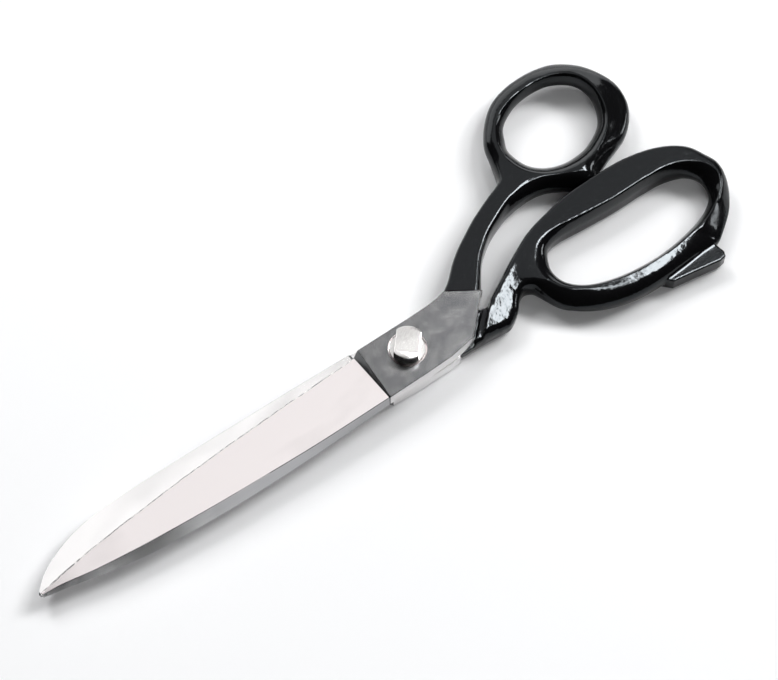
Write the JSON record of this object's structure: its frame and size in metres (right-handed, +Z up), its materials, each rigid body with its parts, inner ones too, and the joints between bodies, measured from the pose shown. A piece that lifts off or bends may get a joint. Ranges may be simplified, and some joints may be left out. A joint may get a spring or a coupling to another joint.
{
  "type": "fabric shears",
  "caption": "Forged fabric shears with long ground steel blades, a bent black-enamelled thumb ring and large bow, and an adjustable pivot screw.",
  "frame": {"origin": "on the pivot axis at the plane the shears lie on, on the flat end of the pivot screw", "axes": "+X from the pivot towards the handles, so the tips point along -X; +Y towards the thumb ring; +Z up, out of the screw head"},
  "size_m": [0.2605, 0.0939, 0.015],
  "materials": {
    "blade_steel": "ground and polished blade faces, finely brushed box",
    "black_enamel": "thick glossy black enamel over the forged handle",
    "nickel": "satin nickel plate, lightly scuffed",
    "spring_steel": "plain spring steel",
    "nut_steel": "plain turned steel"
  },
  "bodies": {
    "lower_half": {"lower_blade": "blade_steel", "lower_handle": "black_enamel", "pivot_screw": "nickel", "tension_washer": "spring_steel", "lock_nut": "nut_steel"},
    "upper_half": {"upper_blade": "blade_steel", "upper_handle": "black_enamel"}
  },
  "joints": [
    {"name": "blade_pivot", "type": "hinge", "parent": "lower_half", "child": "upper_half", "pos_m": [0, 0, 0.0053], "axis": [0, 0, 1], "range_deg": [0, 55]}
  ]
}
